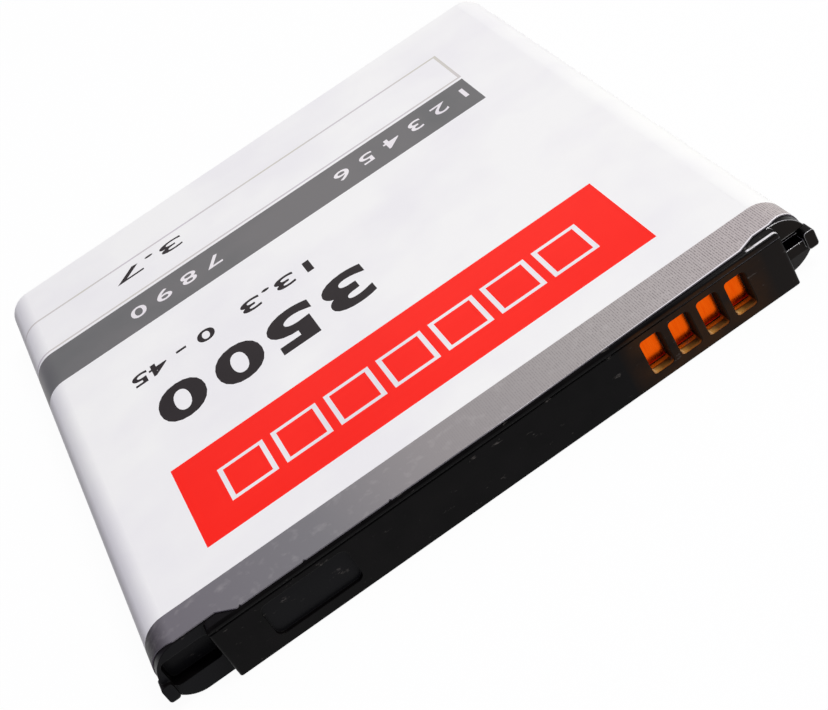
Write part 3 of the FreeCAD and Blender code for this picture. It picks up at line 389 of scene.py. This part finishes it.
def makeWrap():
    # the sheet wrapped round the pack: its printed outside, its back one film deeper, and the cut rims
    places, triangles = layOutSheet()
    decimals = wrap["decimals"]
    joined = {}
    where = []    # the sheet's two ends meet underneath, so they share their points
    for n, (u, v) in enumerate(places):
        atEnd = abs(abs(u) - halfRound) <= 10 ** -decimals
        key = (round(halfRound if atEnd else u, decimals), round(v, decimals))
        where.append(joined.setdefault(key, n))
    triangles = [(tuple(where[n] for n in corners), ink) for corners, ink in triangles]
    used = sorted({n for corners, ink in triangles for n in corners})
    order = {n: place for place, n in enumerate(used)}
    outer = [wrapPoint(*places[n]) for n in used]
    inner = [wrapPoint(*places[n], wrap["film"]) for n in used]
    total = len(used)
    faces = [tuple(order[n] for n in corners) for corners, ink in triangles]
    slots = [ink for corners, ink in triangles]
    sides = dict.fromkeys((a, b) for face in faces for a, b in zip(face, face[1:] + face[:1]))
    backs = [tuple(total + n for n in reversed(face)) for face in faces]
    rims = [(b, a, total + a, total + b) for a, b in sides if (b, a) not in sides]
    mesh = bpy.data.meshes.new("label_sheet")
    spots = [spot * mm for spot, out in outer] + [spot * mm for spot, out in inner]
    mesh.from_pydata(spots, [], faces + backs + rims)
    outwards = [out for spot, out in outer] + [-out for spot, out in inner]
    slots += [inks.index("filmBack")] * len(backs) + [inks.index("cutFilm")] * len(rims)
    normals = []
    for face, slot in zip(mesh.polygons, slots):
        face.material_index = slot
        face.use_smooth = True
        rim = slot == inks.index("cutFilm")
        normals += [face.normal.copy() if rim else outwards[n] for n in face.vertices]
    mesh.normals_split_custom_set(normals)
    piece = bpy.data.objects.new("label_sheet", mesh)
    bpy.context.scene.collection.objects.link(piece)
    return piece


labelSheet = makeWrap()
print("wrap made,", len(labelSheet.data.polygons), "faces")


# the wrap's finishes

coat = {
    "roughness": 0.32,
    "specular": 0.08,
    "cloud": 11.1,                 # mm, the faint cloudiness
    "cloudRamp": (0.38, 0.62),     # the noise's heights for the patch colour and for the plain one
    "grain": 0.12,                 # mm, drawn coarser than the real coat's so that it shows
    "grainDeep": 0.004,            # mm
    "relief": 0.5,
    "paintedShadeHeight": (4.68, 4.1),     # mm, the painted shade low on the left round side grows from the first height to the second
    "paintedShadeSide": (-26.0, -27.0),    # mm, and outwards on the left side in the same way
    # how strong the painted shade is, and its colour
    "paintedShade": 0.45,
    "paintedShadeColour": "#6a5f63",
}


def printedFilm(name, colour, patch, roughness=None):
    # Polypropylene label film with a satin coat. The eye sees an even field with a faint cloudiness,
    # a very fine grain in the gloss, and low on the left round side a painted grey shade where it turns from
    # the light.
    made, tree, place = startMaterial(name)
    axes = addNode(tree, "SeparateXYZ", None, {0: place})
    cloud = addNode(tree, "TexNoise", None, {"Vector": place, "Scale": 1 / coat["cloud"], "Detail": 3.0})
    low, high = coat["cloudRamp"]
    shade = addNode(tree, "ValToRGB", {"stops": [(low, patch), (high, colour)]}, {"Fac": cloud.outputs[0]})
    # painted shade on the lower part of the left round side
    paintedShade = maskOf(tree, [
        (axes.outputs["Z"], *coat["paintedShadeHeight"]), (axes.outputs["X"], *coat["paintedShadeSide"]),
    ], coat["paintedShade"])
    withPaintedShade = addNode(tree, "Mix", {"data_type": "RGBA"}, {
        0: paintedShade, 6: shade.outputs[0], 7: coat["paintedShadeColour"],
    })
    grain = addNode(tree, "TexNoise", None, {"Vector": place, "Scale": 1 / coat["grain"], "Detail": 2.0})
    bump = addNode(tree, "Bump", None, {
        "Height": grain.outputs[0], "Distance": coat["grainDeep"] * mm, "Strength": coat["relief"],
    })
    shader = addNode(tree, "BsdfPrincipled", None, {
        "Base Color": withPaintedShade.outputs[2],
        "Roughness": roughness or coat["roughness"],
        "Specular IOR Level": coat["specular"],
        "Normal": bump.outputs[0],
    })
    endMaterial(tree, shader)
    return made


band = {
    "span": (-28.5, 24.0),         # mm, the print's tone, with the painted shade at its left end, runs from the first place to the second
    "printTonesAndShade": [
        # the first stops, out on the left round side, are painted shade; the rest is the print's own tone
        (0.0, "#231f22"), (0.018, "#363236"), (0.05, "#716e75"), (0.29, "#7c7b7f"), (0.48, "#959192"),
        (0.76, "#aba6a5"), (1.0, "#bbb3b3"),
    ],
    "pitch": 0.19,                 # mm, of the screen's lines
    "lineWave": (-0.2, 1.0),       # the wave's heights where a line starts and where it is full
    "lineSpan": (0.45, 0.95),      # the lines grow between these shares of the span
    "lineShare": 0.75,
    "lineColour": "#3c393c",
    "dot": 0.14,                   # mm, the dots that break the lines
    "dotRamp": (0.35, 0.6),
    "rub": 0.9,                    # mm, the rubbed marks
    "rubRamp": (0.56, 0.86),
    "rubShare": 0.16,
    "rubColour": "#dcd8d8",
    "rubDeep": 0.006,              # mm
    "mottle": 1 / 3,               # mm, unevenness of the gloss
    "roughness": (0.3, 0.5),
}


def screenedBand():
    # Grey halftone print under the same coat: fine lines run from front to back, the tone grows
    # paler from the left end to the right, with painted shade at the left end out on the round side,
    # and handling has rubbed small pale marks into it.
    made, tree, place = startMaterial("screened grey print")
    across = addNode(tree, "SeparateXYZ", None, {0: place}).outputs["X"]
    left, right = band["span"]
    span = addNode(tree, "MapRange", None, {"Value": across, "From Min": left, "From Max": right})
    along = span.outputs[0]
    printToneAndShade = addNode(tree, "ValToRGB", {"stops": band["printTonesAndShade"]}, {"Fac": along})
    phase = addNode(tree, "Math", {"operation": "MULTIPLY"}, {0: across, 1: 2 * math.pi / band["pitch"]})
    wave = addNode(tree, "Math", {"operation": "SINE"}, {0: phase.outputs[0]})
    dots = addNode(tree, "TexNoise", None, {"Vector": place, "Scale": 1 / band["dot"], "Detail": 1.0})
    lines = maskOf(tree, [
        (wave.outputs[0], *band["lineWave"]), (dots.outputs[0], *band["dotRamp"]), (along, *band["lineSpan"]),
    ], band["lineShare"])
    lined = addNode(tree, "Mix", {"data_type": "RGBA"}, {
        0: lines, 6: printToneAndShade.outputs[0], 7: band["lineColour"],
    })
    rubs = addNode(tree, "TexNoise", None, {
        "Vector": place, "Scale": 1 / band["rub"], "Detail": 2.0, "Roughness": 0.5,
    })
    rubbed = maskOf(tree, [(rubs.outputs[0], *band["rubRamp"])], band["rubShare"])
    worn = addNode(tree, "Mix", {"data_type": "RGBA"}, {
        0: rubbed, 6: lined.outputs[2], 7: band["rubColour"],
    })
    mottle = addNode(tree, "TexNoise", None, {"Vector": place, "Scale": 1 / band["mottle"], "Detail": 3.0})
    smooth, dull = band["roughness"]
    rough = addNode(tree, "MapRange", None, {"Value": mottle.outputs[0], "To Min": smooth, "To Max": dull})
    bump = addNode(tree, "Bump", None, {
        "Height": rubs.outputs[0], "Distance": band["rubDeep"] * mm, "Strength": coat["relief"],
    })
    shader = addNode(tree, "BsdfPrincipled", None, {
        "Base Color": worn.outputs[2],
        "Roughness": rough.outputs[0],
        "Specular IOR Level": coat["specular"],
        "Normal": bump.outputs[0],
    })
    endMaterial(tree, shader)
    return made


inkFinishes = {
    "film": printedFilm("coated white film", "#f4f5f5", "#eeeef1"),
    "bandInk": screenedBand(),
    "greyInk": printedFilm("grey print", "#747374", "#6a6b6c"),
    "lineInk": printedFilm("pale line print", "#cec9d1", "#cfcdc5"),
    "redInk": printedFilm("red print", "#ff2215", "#fc1d11"),
    "paleInk": printedFilm("reversed out white", "#efecef", "#e6e2e8"),
    "darkInk": printedFilm("dark grey print", "#2b2628", "#252022"),
    "cutFilm": printedFilm("cut film edge", "#98949a", "#8b888e", roughness=0.6),
    "filmBack": printedFilm("gummed film back", "#d9d4c4", "#cfc9b8", roughness=0.55),
}
for ink in inks:
    labelSheet.data.materials.append(inkFinishes[ink])
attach(labelSheet, "root")
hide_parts("label_wrap")
print("wrap printed")


# the black contact moulding and the far end bar

moulding = {
    "black": [(0.35, "#030203"), (0.7, "#0c0a0b")],
    "cloud": 2.0,                        # mm, unevenness of the black and of its gloss
    "roughness": (0.26, 0.46),
    "specular": 0.08,
    "stipple": 0.35,                     # mm, the mould's texture, drawn coarser so that it shows
    "stippleDeep": 0.006,                # mm
    "relief": 0.6,
    "softEdge": 0.1,                     # mm, how far the edges are eased
    "edgeSamples": 8,
    "edgeCoat": (0.14, 2.2),             # where edges are worn bright, the coat's roughness and IOR
    "scuff": 0.9,                        # mm
    "scuffScale": (0.45, 1.0, 1.2),      # along X, Y and Z, which draws the scuffs out across the face
    "firstWell": 13.03,                  # mm, the first window's left side, and then one each pitch
    "wellPitch": 2.5,                    # mm
    "wellDeep": 1.14,                    # mm
    # over the black, each over the ones before it; the walls go inwards from the face, and the sills'
    # fronts from left to right in each window
    "colours": {
        "recess": "#161618",
        # painted light: the face made lighter and warmer towards its right end, where the light falls
        "handled": "#1f1a17",
        # painted reflection of the gold contacts: a brown tint in the face round the windows
        "glow": "#38220f",
        # painted light from the gold contacts on the windows' walls, and below on the sills and their fronts
        "walls": [(0.0, "#3c2411"), (0.9, "#2a1b0d")],
        "sills": "#ff7a12",
        # painted shade: a dark line at the back of each sill, where it meets the contact
        "sillLines": "#5f2f10",
        "sillFronts": [(0.0, "#f6cf92"), (0.12, "#cf9648"), (0.32, "#7c5222"), (0.7, "#5c3c1a")],
        # painted highlight: a near white strip along the top edge at the right end
        "polish": "#e6e5e8",
        # painted highlight on the upward sides of the eased edges behind the face, towards the right end
        "brightTops": "#c5c4c9",
        "scuffs": "#66625e",
    },
    "dulled": {"walls": 0.75, "fillet": 0.9},    # their roughness
}
areas = {
    # Where each finish of the moulding lies: what is measured, the limit where the finish has faded out
    # and the one where it is full. X, height and depth behind the contact face are in mm. How far the
    # surface faces along Y or Z, and how far an eased edge does so, go from -1 to 1, the turn is 1 away
    # from the edges, and cloud and scuff are noise. An area can be measured for the ones after it.
    "recess": [("faceY", -0.85, -0.99), ("x", -5.0, -5.1), ("depth", 0.1, 0.14)],
    # where the painted light on the face lies, growing towards the right end
    "handled": [("faceY", -0.85, -0.99), ("x", 12.0, 28.0)],
    # where the painted reflection of the gold lies round the windows
    "glow": [("faceY", -0.85, -0.99), ("x", 11.2, 12.8), ("x", 24.2, 22.4), ("cloud", 0.2, 0.6)],
    "windows": [("x", 12.9, 12.95), ("x", 22.7, 22.65), ("height", 0.8, 0.85), ("height", 4.1, 4.05)],
    "walls": [("windows", 0, 1), ("depth", 0.02, 0.04), ("depth", 1.14, 1.12)],
    "sills": [("walls", 0, 1), ("faceZ", 0.4, 0.9)],
    # where the painted shade line lies, at the back of the sill
    "sillLines": [("sills", 0, 1), ("depth", 0.76, 0.66)],
    "sillFronts": [("sills", 0, 1), ("depth", 0.66, 0.55)],
    # where the painted highlight lies, on the top just behind the face's edge at the right end
    "polish": [
        ("faceZ", 0.3, 0.5), ("height", 4.7, 4.75), ("x", 23.1, 23.3), ("x", 25.95, 25.75),
        ("depth", 0.16, 0.2), ("depth", 0.42, 0.36),
    ],
    "fillet": [("faceY", -0.1, -0.3), ("faceZ", 0.1, 0.3), ("x", 23.0, 15.0)],    # the face's top edge
    "brightEdges": [("turn", 0.998, 0.92), ("x", 15.0, 23.0), ("depth", 0.06, 0.16), ("windows", 1, 0)],
    # where the painted edge highlight lies, on the bright edges' upward sides
    "brightTops": [("brightEdges", 0, 1), ("easedZ", 0.1, 0.5)],
    "scuffs": [("scuff", 0.62, 0.7)],
}


def mouldedNylon():
    # Glass-filled nylon, moulded, with small pale scuffs from handling: near black with a low gloss and eased
    # edges that catch the light. Painted light and shade: the face lighter towards its right end, a brown
    # painted reflection of the gold round the contacts, painted light from the gold in the windows' walls and
    # sills with a painted shade line at the back of each sill, and painted highlights on top edges at the
    # right end.
    made, tree, place = startMaterial("moulded black nylon")
    x, y, z = addNode(tree, "SeparateXYZ", None, {0: place}).outputs
    flat = addNode(tree, "NewGeometry").outputs["True Normal"]
    eased = addNode(tree, "Bevel", {"samples": moulding["edgeSamples"]}, {
        "Radius": moulding["softEdge"] * mm,
    }).outputs[0]
    cloud = addNode(tree, "TexNoise", None, {
        "Vector": place, "Scale": 1 / moulding["cloud"], "Detail": 4.0,
    })
    stretched = addNode(tree, "VectorMath", {"operation": "MULTIPLY"}, {
        0: place, 1: moulding["scuffScale"],
    })
    scuff = addNode(tree, "TexNoise", None, {
        "Vector": stretched.outputs[0], "Scale": 1 / moulding["scuff"], "Detail": 6.0, "Roughness": 0.7,
    })
    facing = addNode(tree, "SeparateXYZ", None, {0: flat})
    turn = addNode(tree, "VectorMath", {"operation": "DOT_PRODUCT"}, {0: eased, 1: flat})
    measured = {
        "x": x,
        "height": z,
        "depth": addNode(tree, "Math", {"operation": "SUBTRACT"}, {0: y, 1: contactFace}).outputs[0],
        "faceY": facing.outputs["Y"],
        "faceZ": facing.outputs["Z"],
        "easedZ": addNode(tree, "SeparateXYZ", None, {0: eased}).outputs["Z"],
        "turn": turn.outputs["Value"],
        "cloud": cloud.outputs[0],
        "scuff": scuff.outputs[0],
    }
    for area, tests in areas.items():
        measured[area] = maskOf(tree, [(measured[what], none, full) for what, none, full in tests])
    # in a window the sill is painted as lit by the gold, most at its left end, and the walls only faintly
    inwards = addNode(tree, "MapRange", None, {
        "Value": measured["depth"], "From Max": moulding["wellDeep"],
    })
    along = addNode(tree, "Math", {"operation": "SUBTRACT"}, {0: x, 1: moulding["firstWell"]})
    step = addNode(tree, "Math", {"operation": "MODULO"}, {0: along.outputs[0], 1: moulding["wellPitch"]})
    across = addNode(tree, "MapRange", None, {
        "Value": step.outputs[0], "From Max": moulding["wellPitch"],
    })
    ways = {"walls": inwards.outputs[0], "sillFronts": across.outputs[0]}
    colour = addNode(tree, "ValToRGB", {"stops": moulding["black"]}, {"Fac": cloud.outputs[0]}).outputs[0]
    for area, over in moulding["colours"].items():
        if area in ways:
            over = addNode(tree, "ValToRGB", {"stops": over}, {"Fac": ways[area]}).outputs[0]
        mixed = addNode(tree, "Mix", {"data_type": "RGBA"}, {0: measured[area], 6: colour, 7: over})
        colour = mixed.outputs[2]
    smooth, dull = moulding["roughness"]
    rough = addNode(tree, "MapRange", None, {"Value": cloud.outputs[0], "To Min": smooth, "To Max": dull})
    for area, value in moulding["dulled"].items():
        rough = addNode(tree, "Mix", {"data_type": "FLOAT"}, {
            0: measured[area], 2: rough.outputs[0], 3: value,
        })
    stipple = addNode(tree, "TexNoise", None, {
        "Vector": place, "Scale": 1 / moulding["stipple"], "Detail": 3.0,
    })
    bump = addNode(tree, "Bump", None, {
        "Height": stipple.outputs[0],
        "Distance": moulding["stippleDeep"] * mm,
        "Strength": moulding["relief"],
        "Normal": eased,
    })
    coatRoughness, coatIor = moulding["edgeCoat"]
    shader = addNode(tree, "BsdfPrincipled", None, {
        "Base Color": colour,
        "Roughness": rough.outputs[0],
        "Specular IOR Level": moulding["specular"],
        "Coat Weight": measured["brightEdges"],
        "Coat Roughness": coatRoughness,
        "Coat IOR": coatIor,
        "Normal": bump.outputs[0],
        "Coat Normal": eased,
    })
    endMaterial(tree, shader)
    return made


blackNylon = mouldedNylon()
for name in ("contact_cap", "end_bar"):
    setMaterial(nodes[name], blackNylon)
print("mouldings finished")


# metals, board and small parts

metals = {
    # colour, darker colour, roughness from and to, the grain's size in mm along X, Y and Z, its detail,
    # and the relief's depth in mm and strength
    # deep drawn sheet: a dull shine with faint lines from front to back
    "drawn aluminium": ("#c9cacc", "#b3b4b7", (0.26, 0.44), (0.2, 6.0, 0.2), 4.0, 0.004, 0.4),
    # rolled strip: a warmer shine with fine lines from left to right
    "rolled nickel": ("#c3bfb6", "#aaa69d", (0.22, 0.4), (2.0, 0.2, 0.2), 4.0, 0.004, 0.4),
    # gold over nickel, worn by the phone's spring contacts: a deep orange gold with a soft gloss and
    # faint wipe marks up and down
    "plated gold": ("#ea5b08", "#e14f02", (0.18, 0.26), (1 / 6, 1 / 6, 10 / 7), 3.0, 0.001, 0.3),
}


def bareMetal(name):
    # one grain for the colour, the gloss and the relief, drawn out along the way the metal was worked
    colour, dark, (smooth, dull), grain, detail, deep, relief = metals[name]
    made, tree, place = startMaterial(name)
    stretched = addNode(tree, "VectorMath", {"operation": "DIVIDE"}, {0: place, 1: grain})
    lines = addNode(tree, "TexNoise", None, {"Vector": stretched.outputs[0], "Scale": 1.0, "Detail": detail})
    shade = addNode(tree, "ValToRGB", {"stops": [(0.3, dark), (0.7, colour)]}, {"Fac": lines.outputs[0]})
    rough = addNode(tree, "MapRange", None, {"Value": lines.outputs[0], "To Min": smooth, "To Max": dull})
    bump = addNode(tree, "Bump", None, {
        "Height": lines.outputs[0], "Distance": deep * mm, "Strength": relief,
    })
    shader = addNode(tree, "BsdfPrincipled", None, {
        "Base Color": shade.outputs[0], "Metallic": 1.0, "Roughness": rough.outputs[0],
        "Normal": bump.outputs[0],
    })
    endMaterial(tree, shader)
    return made


plains = {
    # colour, patch colour, roughness from and to, size of the unevenness and depth of the relief in mm
    # the board, glass cloth under a brown varnish: dark and uneven
    "woven glass epoxy": ("#3a2408", "#2c1a06", (0.32, 0.48), 0.5, 0.004),
    # the chips' bodies: matt and slightly grainy
    "moulded epoxy": ("#1b1b1d", "#252527", (0.47, 0.63), 0.15, 0.004),
    # vulcanised fibre: soft and felted
    "pressed fibre paper": ("#c8bd9c", "#b8ab88", (0.77, 0.93), 0.4, 0.01),
    # milky and soft
    "acrylic foam tape": ("#e6e4de", "#d8d5cc", (0.52, 0.68), 0.8, 0.006),
    # the seal: waxy
    "moulded polypropylene": ("#dfe3e6", "#cfd4d8", (0.37, 0.53), 0.6, 0.003),
    # the small parts' bodies: fine and even
    "fired ceramic": ("#4a3b30", "#3a2e26", (0.42, 0.58), 0.2, 0.003),
}


def plainSurface(name):
    # an even surface with its own fine unevenness in colour, gloss and height
    colour, patch, (smooth, dull), size, deep = plains[name]
    made, tree, place = startMaterial(name)
    cloud = addNode(tree, "TexNoise", None, {"Vector": place, "Scale": 1 / size, "Detail": 4.0})
    shade = addNode(tree, "ValToRGB", {"stops": [(0.35, patch), (0.65, colour)]}, {"Fac": cloud.outputs[0]})
    rough = addNode(tree, "MapRange", None, {"Value": cloud.outputs[0], "To Min": smooth, "To Max": dull})
    bump = addNode(tree, "Bump", None, {"Height": cloud.outputs[0], "Distance": deep * mm, "Strength": 0.5})
    shader = addNode(tree, "BsdfPrincipled", None, {
        "Base Color": shade.outputs[0], "Roughness": rough.outputs[0], "Normal": bump.outputs[0],
    })
    endMaterial(tree, shader)
    return made


finishes = {name: bareMetal(name) for name in metals}
finishes.update({name: plainSurface(name) for name in plains})
wearers = {
    "drawn aluminium": ["cell_can", "cell_lid", "fill_plug"],
    "rolled nickel": [
        "terminal_rivet", "positive_tab", "negative_tab", "weld_plate_plus", "weld_plate_minus",
    ],
    "plated gold": ["contact_pad_1", "contact_pad_2", "contact_pad_3", "contact_pad_4"],
    "woven glass epoxy": ["protection_board"],
    "moulded epoxy": ["protection_chip", "mosfet_pair", "thermal_cutoff"],
    "pressed fibre paper": ["lid_insulator"],
    "acrylic foam tape": ["cap_bond_left", "cap_bond_right", "end_tape"],
    "moulded polypropylene": ["terminal_gasket"],
    "fired ceramic": ["thermistor"] + [
        "%s_%d" % (kind, n) for kind in ("resistor", "capacitor") for n in (1, 2, 3)
    ],
}
for name, pieces in wearers.items():
    for piece in pieces:
        setMaterial(nodes[piece], finishes[name])
print("inner pieces finished")


# floor, background and light

studio = {
    "floorWide": 3.0,              # m
    "floorDrop": 0.02,             # mm below the pack
    "floorColour": "#97979b",      # as it lights the pack
    "floorGlow": ("#ffffff", 1.09, 0.88),    # as camera and mirrors see it: colour, strength and share
    "sky": (0.2, 0.78),            # the room's light, from the left side to the right
    "skyColours": ("#e4dcff", "#fffdf4"),
    "lamps": {
        # place in metres, size in metres, power in watts, colour
        "window": ((0.3, -0.12, 0.65), 0.4, 3.15, "#fffffa"),
        "behind": ((0.15, 0.75, 0.45), 0.5, 0.4, "#fffaf0"),
    },
}


def makeFloor():
    # white lacquered board: to the camera and to mirrors it is the background's white, less the shadow,
    # and to all other light a plain grey
    made, tree, _ = startMaterial("lacquered white board")
    ray = addNode(tree, "LightPath")
    plain = addNode(tree, "BsdfDiffuse", None, {"Color": studio["floorColour"]})
    white, strength, share = studio["floorGlow"]
    glow = addNode(tree, "Emission", None, {"Color": white, "Strength": strength})
    mirrored = addNode(tree, "Math", {"operation": "MAXIMUM"}, {
        0: ray.outputs["Is Camera Ray"], 1: ray.outputs["Is Glossy Ray"],
    })
    seen = addNode(tree, "Math", {"operation": "MULTIPLY"}, {0: mirrored.outputs[0], 1: share})
    shader = addNode(tree, "MixShader", None, {0: seen.outputs[0], 1: plain.outputs[0], 2: glow.outputs[0]})
    endMaterial(tree, shader)
    half = studio["floorWide"] / 2
    mesh = bpy.data.meshes.new("floor")
    level = cadBox[0][2] - studio["floorDrop"] * mm
    corners = [(-half, -half, level), (half, -half, level), (half, half, level), (-half, half, level)]
    mesh.from_pydata(corners, [], [(0, 1, 2, 3)])
    floor = bpy.data.objects.new("floor", mesh)
    bpy.context.scene.collection.objects.link(floor)
    setMaterial(floor, made)


def makeSky():
    # a white background to the camera, and to the pack a room that is brighter on the right
    world = bpy.data.worlds.new("soft white room")
    bpy.context.scene.world = world
    world.use_nodes = True
    tree = world.node_tree
    tree.nodes.clear()
    ray = addNode(tree, "LightPath").outputs["Is Camera Ray"]
    way = addNode(tree, "SeparateXYZ", None, {0: addNode(tree, "TexCoord").outputs["Generated"]})
    across = addNode(tree, "MapRange", None, {"Value": way.outputs["X"], "From Min": -1.0}).outputs[0]
    left, right = studio["sky"]
    room = addNode(tree, "MapRange", None, {"Value": across, "To Min": left, "To Max": right})
    level = addNode(tree, "MapRange", None, {"Value": ray, "To Min": room.outputs[0], "To Max": 1.0})
    leftColour, rightColour = studio["skyColours"]
    tint = addNode(tree, "ValToRGB", {"stops": [(0.0, leftColour), (1.0, rightColour)]}, {"Fac": across})
    colour = addNode(tree, "Mix", {"data_type": "RGBA"}, {0: ray, 6: tint.outputs[0], 7: "#ffffff"})
    sky = addNode(tree, "Background", None, {"Color": colour.outputs[2], "Strength": level.outputs[0]})
    output = addNode(tree, "OutputWorld")
    tree.links.new(sky.outputs[0], output.inputs["Surface"])


def makeLamps():
    # round soft lamps that face the pack
    for name, (place, size, power, colour) in studio["lamps"].items():
        lamp = bpy.data.lights.new(name, "AREA")
        lamp.shape = "DISK"
        lamp.size = size
        lamp.energy = power
        lamp.color = linear(colour)[:3]
        holder = bpy.data.objects.new(name, lamp)
        bpy.context.scene.collection.objects.link(holder)
        aim = Vector(place).to_track_quat("Z", "Y").to_matrix().to_4x4()
        holder.matrix_world = Matrix.Translation(place) @ aim


makeFloor()
makeSky()
makeLamps()
bpy.context.scene.view_settings.view_transform = "Standard"
print("studio lit")
